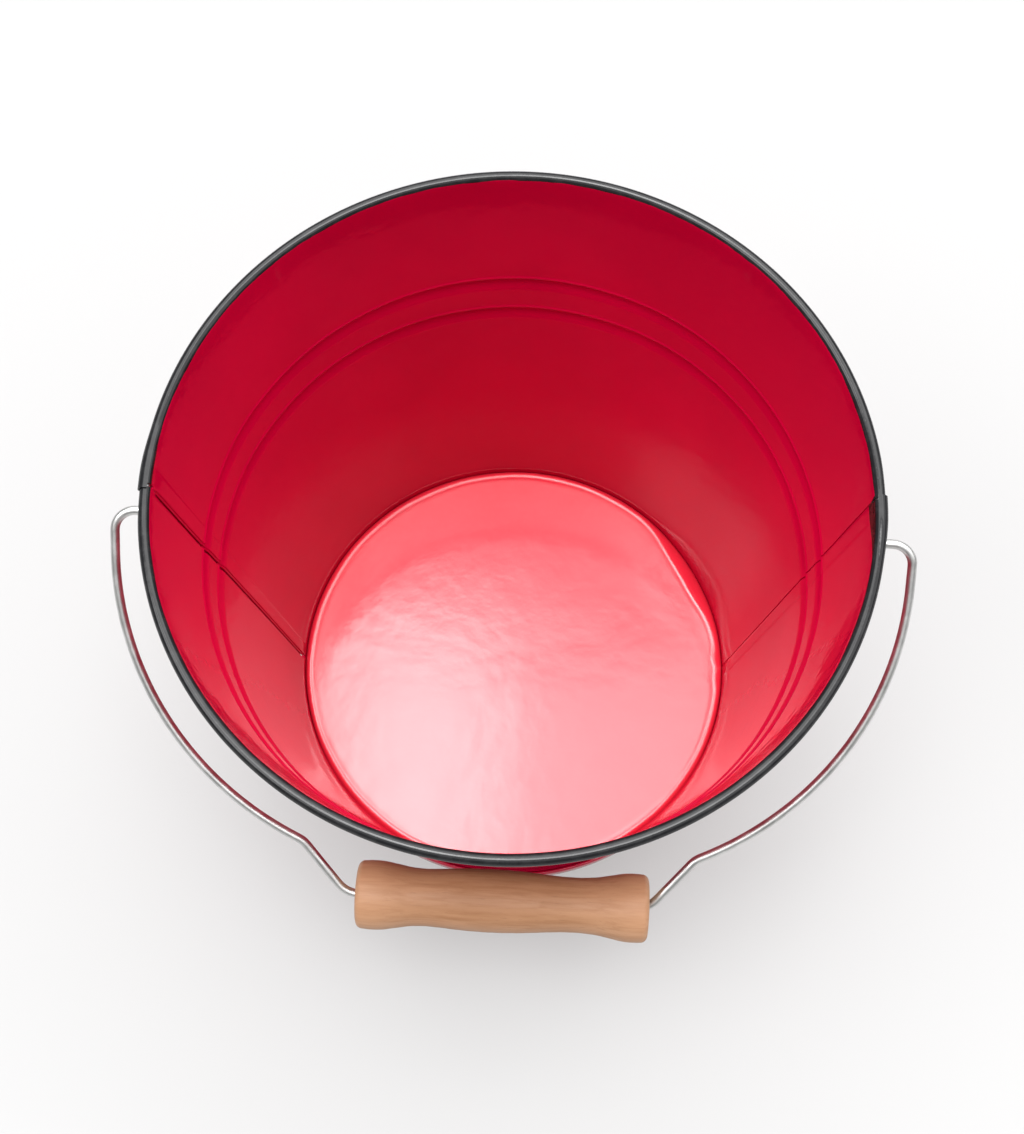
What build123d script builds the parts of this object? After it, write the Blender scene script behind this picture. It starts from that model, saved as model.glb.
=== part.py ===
"""Wash bucket: a seamed steel pail with a wire bail and a turned wooden grip.

Millimetres, +Z up. The origin is the centre of the foot, on the plane that the pail stands on.
The ears and the bail's swing axis lie along X. The bail hangs down over the front wall, towards -Y.
A section is drawn in the XZ plane, where x is the distance from the pail's axis, and then revolved.
"""
from build123d import *
import os
from math import acos, asin, atan2, cos, degrees, hypot, radians, sin, tan

# Driving dimensions: the sheet steel shell
SHEET = 0.6                 # thickness of the wall and base sheets
LAP_GAP = 0.03              # left between two layers of sheet in a seam
RIM_RADIUS = 150.0          # outside of the rolled rim
CURL_RADIUS = 2.5           # outside of the rolled rim's round section
CURL_HEIGHT = 244.0         # centre of the rolled rim, above the foot
CURL_END = -130.0           # where the roll stops, in degrees around its section
RIM_WIRE_RADIUS = 1.8
BASE_RADIUS = 110.6         # inside of the upright band at the foot of the wall
BAND_HEIGHT = 12.8          # where that band ends and the wall starts to flare
BEAD_HEIGHTS = (153.8, 175.3)
BEAD_HALF_WIDTH = 6.0
BEAD_DEPTH = 1.3

# The lock seams where the two half sheets hook together, in degrees around the pail
SEAM_HALF_ANGLE = 1.6
FOLD_ANGLE = 0.27           # one thickness of sheet, seen as an angle
SEAM_SLACK = 0.15
SEAM_BOTTOM = 15.0
SEAM_TOP = 236.0
RIM_LAP_HALF_ANGLE = 2.1    # one end of the rolled rim is widened, and laps over the other's end
RIM_LAP_ARC = 100.0         # on the roll's outer side, this far up and down from level

# The base and its rolled foot
PANEL_HEIGHT = 9.8          # top of the base's flat panel
PANEL_CORNER = 5.0
SEAM_HEIGHT = 7.8
HOOK_TOP = 6.6              # top edge of the wall's hook, inside the foot's roll
HOOK_BOTTOM = 1.3
COVER_HOOK_BOTTOM = 2.6
FOOT_ROUND = 0.54
CONTACT_GAP = 0.05          # left between pieces that lie against each other

# The ears
PIVOT_HEIGHT = 207.0
EAR_SHEET = 1.4
EAR_FACE = 146.0            # back of the ear's raised bridge, from the pail's axis
EAR_HALF_WIDTH = 22.0
EAR_HALF_HEIGHT = 16.0
EAR_ROUND = 7.0
EAR_HALF_TURN = 12.0        # enough of a turn around the pail to hold the ear, in degrees
BRIDGE_HALF_WIDTH = 10.0
BRIDGE_ROUND = 2.4
PIVOT_CLEARANCE = 0.05

# The bail, drawn in its own plane: u along the swing axis, towards +X, and v away from it
WIRE_RADIUS = 2.0
HEAD_RADIUS = 3.5
HEAD_SPAN = (143.0, 144.8)
BAIL_WIDTH = 169.0
GRIP_REACH = 171.9          # from the swing axis to the grip's axis
BAIL_CORNERS = ((BAIL_WIDTH, 0, 9), (BAIL_WIDTH, 105.4, 142), (87, 147.5, 10), (67.5, GRIP_REACH, 12.5))
REST_GAP = 2.0              # left between the grip and the wall that it hangs beside, so that it can turn

# The grip, turned by hand: how far from its middle, towards +X, and its radius there
GRIP_HALF_LENGTH = 65.0
GRIP_SWELL = 14.0
GRIP_SHAPE = ((-62, 15.1), (-57, 15.4), (-40, 13.0), (-22, 13.4), (-6, GRIP_SWELL), (10, 13.5), (29, 12.2),
              (45, 13.2), (57.5, 15.2), (62, 15.0))
GRIP_END_ROUND = 3.0
GRIP_SLIDE = 2.5            # how far the loose grip has slid along the wire, towards +X
GRIP_BORE_CLEARANCE = 0.08
GRIP_MOUTH = (5.5, 6.0)     # radius and depth of the countersink at each end of the bore

# Worked out from the above
CURL_CENTRE = RIM_RADIUS - CURL_RADIUS
rise, spread = CURL_HEIGHT - BAND_HEIGHT, CURL_CENTRE - BASE_RADIUS
FLARE = atan2(spread, rise) - asin(CURL_RADIUS / hypot(spread, rise))
WALL = SHEET / cos(FLARE)   # the sheet's thickness, measured level
LAYER = WALL + LAP_GAP


def wall_radius(height):
    """Inside radius of the plain flared wall."""
    return BASE_RADIUS + (height - BAND_HEIGHT) * tan(FLARE)


def bead_edges(height, shift):
    """A swaged bead pressed outwards: three arcs that leave and join the wall smoothly."""
    radius = (BEAD_HALF_WIDTH**2 + BEAD_DEPTH**2) / (4 * BEAD_DEPTH)
    turn = asin(BEAD_HALF_WIDTH / 2 / radius)

    def point(along, out):
        x = wall_radius(height) + shift + along * sin(FLARE) + out * cos(FLARE)
        return (x, 0, height + along * cos(FLARE) - out * sin(FLARE))

    def flank(sign):
        mid = BEAD_HALF_WIDTH - radius * sin(turn / 2)
        return [point(sign * a, o) for a, o in (
            (BEAD_HALF_WIDTH, 0), (mid, radius * (1 - cos(turn / 2))), (BEAD_HALF_WIDTH / 2, BEAD_DEPTH / 2))]

    low, high = flank(-1), flank(1)
    crest = ThreePointArc(low[2], point(0, BEAD_DEPTH), high[2])
    return [ThreePointArc(*low), crest, ThreePointArc(*reversed(high))]


def wall_line(bottom, top, shift):
    """One face of the wall from bottom to top, both on the flared part, with the beads."""
    edges, start = [], (wall_radius(bottom) + shift, 0, bottom)
    for height in BEAD_HEIGHTS:
        bead = bead_edges(height, shift)
        edges += [Line(start, bead[0] @ 0), *bead]
        start = bead[-1] @ 1
    return edges + [Line(start, (wall_radius(top) + shift, 0, top))]


def closed_face(inner, outer):
    """The face between two open chains of edges that both run upwards."""
    ends = [Line(inner[0] @ 0, outer[0] @ 0), Line(inner[-1] @ 1, outer[-1] @ 1)]
    return make_face(Curve() + inner + outer + ends)


def turned(face, start, end):
    """A section revolved about the pail's axis from one angle to another, in degrees."""
    return Rot(0, 0, start) * revolve(face, Axis.Z, end - start)


def layers(first, last):
    """Section of a seam's layers of sheet, from the first to the last, counted outwards."""
    inner = wall_line(SEAM_BOTTOM, SEAM_TOP, first * LAYER)
    outer = wall_line(SEAM_BOTTOM, SEAM_TOP, last * LAYER + WALL)
    return closed_face(inner, outer)


def curl_point(angle, radius):
    """A point of the rolled rim's section, by its angle from level outwards."""
    a = radians(angle)
    return (CURL_CENTRE + radius * cos(a), 0, CURL_HEIGHT + radius * sin(a))


def curl_face(start, end, inner, outer):
    """Part of a ring around the rolled rim's wire."""
    mid = (start + end) / 2
    arcs = [ThreePointArc(*(curl_point(a, r) for a in (start, mid, end))) for r in (inner, outer)]
    caps = [Line(arcs[0] @ k, arcs[1] @ k) for k in (0, 1)]
    return make_face(Curve() + arcs + caps)


def sheet_face():
    """Section of a wall sheet: hook, upright band, flared wall with its beads, and rolled rim."""
    join = 180 - degrees(FLARE)
    roll = curl_face(join, CURL_END, CURL_RADIUS - SHEET, CURL_RADIUS)
    tops = [curl_point(join, r) for r in (CURL_RADIUS, CURL_RADIUS - SHEET)]
    sides = []
    for shift, top in zip((0, WALL), tops):
        line = wall_line(BAND_HEIGHT, SEAM_TOP, shift)
        line.insert(0, Line((BASE_RADIUS + shift, 0, HOOK_BOTTOM), line[0] @ 0))
        sides.append(line + [Line(line[-1] @ 1, top)])
    out = BASE_RADIUS + WALL
    far = out + 2 * CONTACT_GAP + SHEET
    hook = make_face(Polyline(
        (out, 0, HOOK_BOTTOM), (far + SHEET, 0, HOOK_BOTTOM), (far + SHEET, 0, HOOK_TOP),
        (far, 0, HOOK_TOP), (far, 0, HOOK_BOTTOM + SHEET), (out, 0, HOOK_BOTTOM + SHEET), close=True))
    return closed_face(*sides) + roll + hook


def make_wall(turn):
    """A half sheet from the seam at turn + 180 to the seam at turn + 360 degrees.

    Its far end is hooked inside the other sheet, and its near end goes outside over the other's hook.
    The far end of its rolled rim laps over the near end of the other's.
    """
    a = SEAM_HALF_ANGLE
    far, near = turn + 360, turn + 180
    body = turned(sheet_face(), near + a + SEAM_SLACK, far + a)
    body += turned(layers(0, 2), far + a - FOLD_ANGLE, far + a)
    body += turned(layers(2, 2), far - a + 2 * FOLD_ANGLE, far + a)
    step = near + a + SEAM_SLACK
    body += turned(layers(0, 3), step, step + FOLD_ANGLE)
    body += turned(layers(3, 3), near - a, step + FOLD_ANGLE)
    body += turned(layers(1, 3), near - a, near - a + FOLD_ANGLE)
    body += turned(layers(1, 1), near - a, near + a - 2 * FOLD_ANGLE)
    lap = curl_face(RIM_LAP_ARC, -RIM_LAP_ARC, CURL_RADIUS, CURL_RADIUS + SHEET)
    join = curl_face(RIM_LAP_ARC, -RIM_LAP_ARC, CURL_RADIUS - SHEET / 2, CURL_RADIUS + SHEET)
    body += turned(lap, far - RIM_LAP_HALF_ANGLE, far + RIM_LAP_HALF_ANGLE)
    return body + turned(join, far - RIM_LAP_HALF_ANGLE, far + a)


def make_rim_wire():
    return Pos(0, 0, CURL_HEIGHT) * Torus(CURL_CENTRE, RIM_WIRE_RADIUS)


def make_base_pan():
    """The base: flat panel, rounded corner, flange inside the wall, and the roll around the wall's hook."""
    flange = BASE_RADIUS - CONTACT_GAP          # outside of the flange, against the wall
    hook = BASE_RADIUS + WALL + CONTACT_GAP     # inside of the hook between the wall and its own hook
    outer = hook + 2 * (SHEET + CONTACT_GAP)    # inside of the foot's outer side
    round_in = PANEL_CORNER - SHEET
    low, high = PANEL_HEIGHT - SHEET, PANEL_HEIGHT
    mid, bend = flange - PANEL_CORNER, PANEL_HEIGHT - PANEL_CORNER
    diag = cos(radians(45))
    out, out_in = PANEL_CORNER * diag, round_in * diag
    corner = [ThreePointArc((mid, 0, high), (mid + out, 0, bend + out), (flange, 0, bend)),
              ThreePointArc((mid, 0, low), (mid + out_in, 0, bend + out_in), (flange - SHEET, 0, bend))]
    panel = Polyline((mid, 0, low), (0, 0, low), (0, 0, high), (mid, 0, high))
    roll = Polyline(
        (flange, 0, bend), (flange, 0, SHEET), (outer, 0, SHEET), (outer, 0, SEAM_HEIGHT - SHEET),
        (hook + SHEET, 0, SEAM_HEIGHT - SHEET), (hook + SHEET, 0, COVER_HOOK_BOTTOM),
        (hook, 0, COVER_HOOK_BOTTOM), (hook, 0, SEAM_HEIGHT), (outer + SHEET, 0, SEAM_HEIGHT),
        (outer + SHEET, 0, 0), (flange - SHEET, 0, 0), (flange - SHEET, 0, bend))
    face = make_face(Curve() + corner + [panel, roll])
    rounded = [v for v in face.vertices() if v.X > outer + SHEET / 2 or (v.Z < SHEET / 2 and v.X < flange)]
    return revolve(fillet(rounded, FOOT_ROUND), Axis.Z, 360)


def make_base_seal():
    """Sealing compound between the bottom of the wall's hook and the foot's roll."""
    inner, outer = BASE_RADIUS, BASE_RADIUS + WALL + 2 * (SHEET + CONTACT_GAP)
    low, high = SHEET + CONTACT_GAP, HOOK_BOTTOM - CONTACT_GAP
    corners = ((inner, 0, low), (outer, 0, low), (outer, 0, high), (inner, 0, high))
    return revolve(make_face(Polyline(*corners, close=True)), Axis.Z, 360)


def make_ear(side):
    """A pressed lug: two flanges that lie on the wall, and a raised bridge with the pivot hole."""
    low, high = PIVOT_HEIGHT - EAR_HALF_HEIGHT, PIVOT_HEIGHT + EAR_HALF_HEIGHT
    skin = WALL + CONTACT_GAP
    plate = make_face(Polyline(
        (wall_radius(low) + skin, 0, low), (wall_radius(low) + skin + EAR_SHEET, 0, low),
        (wall_radius(high) + skin + EAR_SHEET, 0, high), (wall_radius(high) + skin, 0, high), close=True))
    flanges = turned(plate, -EAR_HALF_TURN, EAR_HALF_TURN)
    outline = RectangleRounded(2 * EAR_HALF_WIDTH, 2 * EAR_HALF_HEIGHT, EAR_ROUND)
    seen_level = Plane(origin=(0, 0, PIVOT_HEIGHT), x_dir=(0, 1, 0), z_dir=(1, 0, 0))
    flanges &= extrude(seen_level * outline, 2 * EAR_FACE)
    inside = 2 * (BRIDGE_HALF_WIDTH - EAR_SHEET)
    depth, tall = EAR_FACE + EAR_SHEET, 2 * EAR_HALF_HEIGHT
    middle = Pos(depth / 2, 0, PIVOT_HEIGHT)
    bridge = middle * Box(depth, 2 * BRIDGE_HALF_WIDTH, tall)
    hollow = middle * Pos(-EAR_SHEET, 0, 0) * Box(depth, inside, tall)
    outer_edges = bridge.edges().filter_by(Axis.Z).group_by(Axis.X)[-1]
    bridge = fillet(outer_edges, BRIDGE_ROUND)
    hollow = fillet(hollow.edges().filter_by(Axis.Z).group_by(Axis.X)[-1], BRIDGE_ROUND - EAR_SHEET)
    pail = make_face(Polyline(
        (0, 0, low), (wall_radius(low) + skin, 0, low), (wall_radius(high) + skin, 0, high), (0, 0, high),
        close=True))
    ear = flanges - hollow + (bridge - hollow - revolve(pail, Axis.Z, 360))
    ear -= extrude(seen_level * Circle(WIRE_RADIUS + PIVOT_CLEARANCE), 2 * EAR_FACE)
    return Rot(0, 0, 0 if side > 0 else 180) * ear


def hang_angle():
    """How far the bail's plane drops below level when the grip hangs against the wall, in degrees."""
    skin = wall_radius(PIVOT_HEIGHT) + WALL
    reach = (GRIP_SWELL + REST_GAP + skin * cos(FLARE)) / GRIP_REACH
    return degrees(FLARE + acos(reach))


def at_rest(shape):
    """From the bail's own plane, with u as x and v as y, to where the bail hangs at the front."""
    plane = Plane(origin=(0, 0, PIVOT_HEIGHT), x_dir=(1, 0, 0), z_dir=(0, 0, -1))
    return plane * Rot(hang_angle(), 0, 0) * shape


def make_bail():
    """Bent wire with a round head at each end, behind the ear."""
    half = [(HEAD_SPAN[0], 0)] + [(u, v) for u, v, _ in BAIL_CORNERS]
    points = [(-u, v) for u, v in half] + list(reversed(half))
    bends = [bend for _, _, bend in BAIL_CORNERS]
    path = FilletPolyline(*points, radius=bends + bends[::-1])
    start = Plane(origin=path @ 0, z_dir=path % 0)
    wire = sweep(start * Circle(WIRE_RADIUS), path)
    for sign in (-1, 1):
        middle = sum(HEAD_SPAN) / 2
        head = Pos(sign * middle, 0, 0) * Rot(0, 90, 0) * Cylinder(HEAD_RADIUS, HEAD_SPAN[1] - HEAD_SPAN[0])
        wire += head
    return at_rest(wire)


def make_grip():
    """Turned wood: a swell in the middle, a waist on each side of it, rounded ends and a bore."""
    end = GRIP_HALF_LENGTH
    silhouette = Spline(*GRIP_SHAPE)
    first, last = GRIP_SHAPE[0], GRIP_SHAPE[-1]
    first_face, last_face = (-end, first[1] - GRIP_END_ROUND), (end, last[1] - GRIP_END_ROUND)
    ends = [Line((-end, 0), first_face), Line(last_face, (end, 0)), Line((end, 0), (-end, 0))]
    rounds = [TangentArc(last, last_face, tangent=silhouette % 1),
              TangentArc(first, first_face, tangent=-(silhouette % 0))]
    wood = revolve(make_face(Curve() + [silhouette] + rounds + ends), Axis.X, 360)
    bore = WIRE_RADIUS + GRIP_BORE_CLEARANCE
    wood -= Rot(0, 90, 0) * Cylinder(bore, 3 * end)
    mouth, depth = GRIP_MOUTH
    for sign in (-1, 1):
        wood -= Pos(sign * (end - depth / 2), 0, 0) * Rot(0, 90 * sign, 0) * Cone(bore, mouth, depth)
    return at_rest(Pos(GRIP_SLIDE, GRIP_REACH, 0) * wood)


def main():
    parts = {
        "wall_front": make_wall(0),
        "wall_back": make_wall(180),
        "rim_wire": make_rim_wire(),
        "base_pan": make_base_pan(),
        "base_seal": make_base_seal(),
        "ear_left": make_ear(-1),
        "ear_right": make_ear(1),
        "bail": make_bail(),
        "grip": make_grip(),
    }
    os.makedirs("parts", exist_ok=True)
    for name, part in parts.items():
        export_step(part, f"parts/{name}.step")
    print("flare", round(degrees(FLARE), 3), "hang angle", round(hang_angle(), 3))


main()
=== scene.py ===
"""Looks of the wash bucket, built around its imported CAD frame.

Shapes are worked out in millimetres in the frame's own axes: +Z up from the plane the pail stands on, the
ears along X, and the bail hanging at the front, towards -Y. A mesh is scaled to metres when it is made.
Angles are in degrees, anticlockwise seen from above, with 0 along +X.
"""
from math import acos, asin, atan2, cos, degrees, hypot, pi, radians, sin, sqrt, tan

import bmesh
import bpy
import numpy as np
from mathutils import Matrix, Vector


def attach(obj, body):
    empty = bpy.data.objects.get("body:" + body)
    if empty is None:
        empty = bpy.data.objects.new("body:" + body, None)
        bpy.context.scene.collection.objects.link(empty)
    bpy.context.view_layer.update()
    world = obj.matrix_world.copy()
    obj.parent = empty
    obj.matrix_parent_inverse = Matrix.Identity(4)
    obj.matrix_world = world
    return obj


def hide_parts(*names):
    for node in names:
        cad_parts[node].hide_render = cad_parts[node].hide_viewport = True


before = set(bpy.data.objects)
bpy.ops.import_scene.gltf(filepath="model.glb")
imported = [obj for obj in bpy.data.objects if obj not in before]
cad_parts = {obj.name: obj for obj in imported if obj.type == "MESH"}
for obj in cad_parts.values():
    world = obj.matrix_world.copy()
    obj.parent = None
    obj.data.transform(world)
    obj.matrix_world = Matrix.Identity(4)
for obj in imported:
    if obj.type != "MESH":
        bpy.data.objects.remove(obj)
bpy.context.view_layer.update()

MM = 0.001

# The sheet steel shell, as in the CAD model
SHEET = 0.6
LAP_GAP = 0.03
CONTACT_GAP = 0.05
RIM_RADIUS = 150.0
CURL_RADIUS = 2.5
CURL_HEIGHT = 244.0
CURL_END = -130.0
BASE_RADIUS = 110.6
BAND_HEIGHT = 12.8
BEAD_HEIGHTS = (153.8, 175.3)
BEAD_HALF_WIDTH = 6.0
BEAD_DEPTH = 1.3
SEAM_HALF_ANGLE = 1.6
SEAM_BOTTOM = 15.0
SEAM_TOP = 236.0
PANEL_HEIGHT = 9.8
FOOT_SEAM_HEIGHT = 7.8
HOOK_TOP = 6.6
HOOK_BOTTOM = 1.3

# The ears and the bail
PIVOT_HEIGHT = 207.0
EAR_SHEET = 1.4
EAR_FACE = 146.0
EAR_HALF_HEIGHT = 16.0
EAR_HALF_WIDTH = 22.0
EAR_ROUND = 7.0
BRIDGE_HALF_WIDTH = 10.0
BRIDGE_BEND = 1.9
PIVOT_PLAY = 0.05
WIRE_RADIUS = 2.0
HEAD_RADIUS = 3.5
HEAD_SPAN = (143.0, 144.8)
BAIL_WIDTH = 169.0
GRIP_REACH = 171.9
# Each corner of half the bail in its own plane: across, away from the ears, and radius of the bend
BAIL_CORNERS = ((BAIL_WIDTH, 0, 9), (BAIL_WIDTH, 105.4, 142), (87, 147.5, 10), (67.5, GRIP_REACH, 12.5))

# The grip: its outside as (along, radius), and its bore's countersunk mouth as (radius, depth)
GRIP_HALF_LENGTH = 65.0
GRIP_SWELL = 14.0
GRIP_SHAPE = ((-62, 15.1), (-57, 15.4), (-40, 13.0), (-22, 13.4), (-6, GRIP_SWELL), (10, 13.5), (29, 12.2),
              (45, 13.2), (57.5, 15.2), (62, 15.0))
GRIP_END_ROUND = 3.0
GRIP_SLIDE = 2.5
GRIP_BORE = 2.08
GRIP_MOUTH = (5.5, 6.0)
REST_GAP = 2.0

# Worked out from the above
CURL_CENTRE = RIM_RADIUS - CURL_RADIUS
RISE, SPREAD = CURL_HEIGHT - BAND_HEIGHT, CURL_CENTRE - BASE_RADIUS
FLARE = atan2(SPREAD, RISE) - asin(CURL_RADIUS / hypot(SPREAD, RISE))
WALL = SHEET / cos(FLARE)
LAYER = WALL + LAP_GAP
PIVOT_SKIN = BASE_RADIUS + (PIVOT_HEIGHT - BAND_HEIGHT) * tan(FLARE) + WALL
HANG = FLARE + acos((GRIP_SWELL + REST_GAP + PIVOT_SKIN * cos(FLARE)) / GRIP_REACH)
GRIP_CENTRE = Vector((GRIP_SLIDE, -GRIP_REACH * cos(HANG), PIVOT_HEIGHT - GRIP_REACH * sin(HANG))) * MM

rng = np.random.default_rng(7)


# ---------------------------------------------------------------- mesh helpers

def new_object(name, mesh):
    obj = bpy.data.objects.new(name, mesh)
    bpy.context.scene.collection.objects.link(obj)
    return obj


def finish_mesh(name, points, faces, sharp_angle=35.0):
    """A mesh from points in millimetres: doubles merged, normals outwards, smooth but for sharp edges."""
    mesh = bpy.data.meshes.new(name)
    mesh.from_pydata([tuple(p) for p in np.asarray(points) * MM], [], faces)
    bm = bmesh.new()
    bm.from_mesh(mesh)
    bmesh.ops.remove_doubles(bm, verts=bm.verts, dist=1e-7)
    bmesh.ops.dissolve_degenerate(bm, edges=bm.edges, dist=1e-8)
    bmesh.ops.recalc_face_normals(bm, faces=bm.faces)
    for face in bm.faces:
        face.smooth = True
    limit = radians(sharp_angle)
    for edge in bm.edges:
        edge.smooth = len(edge.link_faces) == 2 and edge.calc_face_angle(0.0) < limit
    bm.to_mesh(mesh)
    bm.free()
    mesh.validate()
    return new_object(name, mesh)


def cell_faces(rows, cols, mask, wrap):
    """Faces of a closed sheet over a grid of cells: both its sides, and its edge where cells end."""
    far = rows * cols

    def index(i, j, side):
        return side * far + i * cols + j % cols

    def there(i, j):
        j = j % cols if wrap else j
        return 0 <= i < mask.shape[0] and 0 <= j < mask.shape[1] and mask[i, j]

    faces = []
    for i, j in np.argwhere(mask).tolist():
        corners = [(i, j), (i, j + 1), (i + 1, j + 1), (i + 1, j)]
        faces.append([index(*c, 0) for c in corners])
        faces.append([index(*c, 1) for c in reversed(corners)])
        for k, (di, dj) in enumerate(((-1, 0), (0, 1), (1, 0), (0, -1))):
            if not there(i + di, j + dj):
                p, q = corners[k], corners[(k + 1) % 4]
                faces.append([index(*q, 0), index(*p, 0), index(*p, 1), index(*q, 1)])
    return faces


def sheet_mesh(name, side_a, side_b, mask=None, wrap=False):
    """A closed sheet between two grids of points.

    mask says which cells exist, and wrap joins the last column to the first.
    """
    rows, cols = side_a.shape[:2]
    if mask is None:
        mask = np.ones((rows - 1, cols if wrap else cols - 1), bool)
    points = np.concatenate([side_a.reshape(-1, 3), side_b.reshape(-1, 3)])
    faces = cell_faces(rows, cols, mask, wrap)
    used = sorted({v for f in faces for v in f})
    renumber = {v: n for n, v in enumerate(used)}
    return finish_mesh(name, points[used], [[renumber[v] for v in f] for f in faces])


def lathe(name, profile, segments, place):
    """A closed profile of (along, radius) turned about an axis.

    place turns (along, across, up) into the frame.
    """
    points, n = [], len(profile)
    for k in range(segments):
        a = 2 * pi * k / segments
        points += [place(along, radius * cos(a), radius * sin(a)) for along, radius in profile]
    faces = []
    for k in range(segments):
        for i in range(n):
            a, b = k * n, (k + 1) % segments * n
            faces.append([a + i, a + (i + 1) % n, b + (i + 1) % n, b + i])
    return finish_mesh(name, points, faces)


def smooth_step(x, low, high):
    t = np.clip((np.asarray(x, float) - low) / (high - low), 0, 1)
    return t * t * (3 - 2 * t)


def bump_at(x, centre, width):
    return np.exp(-((np.asarray(x, float) - centre) / width) ** 2)


def polar(radius, angle, z):
    """Points at some angles, where radius and z are single numbers or one for each."""
    a = np.radians(angle)
    return np.stack(np.broadcast_arrays(radius * np.cos(a), radius * np.sin(a), z), axis=-1)


def half_turn():
    """Cosine and sine at even steps over half a turn."""
    return [(cos(a), sin(a)) for a in np.radians(np.linspace(0, 180, 9))]


# ---------------------------------------------------------------- the wall sheets

# A bead's outline above its middle, as shares of its half width: where it is deepest, and where it closes
BEAD_FLANK = (0.30, 0.47)
# The low ridge above a bead: how far it stands in, its height over the bead's middle, and its width
BEAD_RIDGE = (0.42, 3.8, 0.70)
BAND_BEND = 1.2
WAVE_SIZE = 0.035
WAVES = [(rng.integers(3, 17), rng.uniform(0.008, 0.05), rng.uniform(0, 2 * pi), rng.uniform(0.4, 1.0))
         for _ in range(14)]

# The seams: how far, in degrees, the folds of the near and far hooks stand inside the seam's edges, and how
# far, in millimetres, the far side steps in before its hook
SEAM_RADIUS = 128.0
NEAR_FOLD = 0.35
FAR_FOLD = 0.28
FAR_STEP = 0.22

# Above the seams, the far side runs on over the near side: by so many cells, and by so many degrees past a
# seam's edge on the wall and past its middle on the curl. The curl's lap starts at an angle round the curl,
# where its radius grows, while the near side's shrinks.
LAP_CELLS = 5
LAP_START = 125
TOP_LAP = 0.03
CURL_LAP = 2.1
LAP_SWELL = 0.62
LAP_SHRINK = 0.22


def hand_waves(angle, z):
    """The slight unevenness of rolled sheet, in millimetres, none at the rim and the foot."""
    a = np.radians(angle)
    total = sum(size * np.sin(turns * a + rate * z + phase) for turns, rate, phase, size in WAVES)
    fade = smooth_step(z, 14, 45) * (1 - smooth_step(z, 205, 238))
    return WAVE_SIZE * total * fade


def wall_inside(z):
    """Inside radius of the wall, with a soft crease at the band and two beads, each steeper at its top."""
    soft = BAND_BEND
    lift = z - BAND_HEIGHT
    flare = np.where(lift > soft, lift, np.where(lift < -soft, 0, (lift + soft) ** 2 / (4 * soft)))
    radius = BASE_RADIUS + flare * tan(FLARE)
    deepest, closed = (share * BEAD_HALF_WIDTH for share in BEAD_FLANK)
    depth, place, width = BEAD_RIDGE
    for height in BEAD_HEIGHTS:
        s = z - height
        bead = smooth_step(s, -BEAD_HALF_WIDTH, deepest) * (1 - smooth_step(s, deepest, closed))
        ridge = depth * bump_at(s, place, width)
        radius = radius + (bead * BEAD_DEPTH - ridge) / cos(FLARE)
    return radius


def wall_levels():
    """Heights of the wall's rows, close together on the crease and the beads."""
    low, high = BEAD_HEIGHTS
    clear = BEAD_HALF_WIDTH + 0.5
    levels = list(np.linspace(HOOK_TOP - 4, BAND_HEIGHT - 2, 4))
    levels += list(np.linspace(BAND_HEIGHT - BAND_BEND, BAND_HEIGHT + BAND_BEND, 5))
    levels += list(np.linspace(SEAM_BOTTOM, low - clear, 16))
    for height in BEAD_HEIGHTS:
        levels += list(height + np.linspace(-1.0, BEAD_FLANK[0], 16)[:-1] * BEAD_HALF_WIDTH)
        levels += list(height + np.linspace(*BEAD_FLANK, 9)[:-1] * BEAD_HALF_WIDTH)
        levels += list(height + np.linspace(BEAD_FLANK[1], 1.0, 13) * BEAD_HALF_WIDTH)
    levels += list(np.linspace(low + clear, high - clear, 4))
    levels += list(np.linspace(high + clear, SEAM_TOP, 8))
    above_seam = [239.5, 242.3]
    return np.array(sorted(levels + above_seam))


def near_hook(near, groove, slack):
    """Stations from the near hook's free end, over the other sheet's hook, and in to the plain wall."""
    a, per_mm = SEAM_HALF_ANGLE, degrees(1 / SEAM_RADIUS)
    stations = [(near + u, LAYER, 0.0, -1.0, False) for u in np.linspace(a - 0.5, -a + NEAR_FOLD, 5)]
    bend = near - a + NEAR_FOLD
    for c, s in half_turn()[1:-1]:
        stations.append((bend - LAYER * s * per_mm, 2 * LAYER - LAYER * c, -s, -c, False))
    for u in np.linspace(-a + NEAR_FOLD, a + slack - 0.05, 6):
        stations.append((near + u, 3 * LAYER, 0.0, 1.0, False))
    for u in np.linspace(0, groove, 7):
        shift = 3 * LAYER * (1 - float(smooth_step(u, 0, groove)))
        stations.append((near + (a + slack) + u, shift, 0.0, 1.0, True))
    return stations


def far_hook(far):
    """Stations from the wall's step inwards, on past the other sheet's hook, and round the far hook."""
    a, per_mm = SEAM_HALF_ANGLE, degrees(1 / SEAM_RADIUS)
    stations = []
    for v in (-0.35, -0.2, -0.05, 0.1, 0.3):
        stations.append((far - a + v, -FAR_STEP * float(smooth_step(v, -0.35, 0.2)), 0.0, 1.0, True))
    stations += [(far + v, -FAR_STEP, 0.0, 1.0, True) for v in np.linspace(-a + 0.7, a - 0.3, 5)]
    bend = far + a - FAR_FOLD
    for c, s in half_turn()[1:-1]:
        reach = LAYER + FAR_STEP * (c > 0)
        stations.append((bend + LAYER * s * per_mm, LAYER - reach * c, s, c, False))
    stations += [(far + v, 2 * LAYER, 0.0, -1.0, False) for v in np.linspace(a - FAR_FOLD, -a + 0.7, 5)]
    return stations


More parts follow.
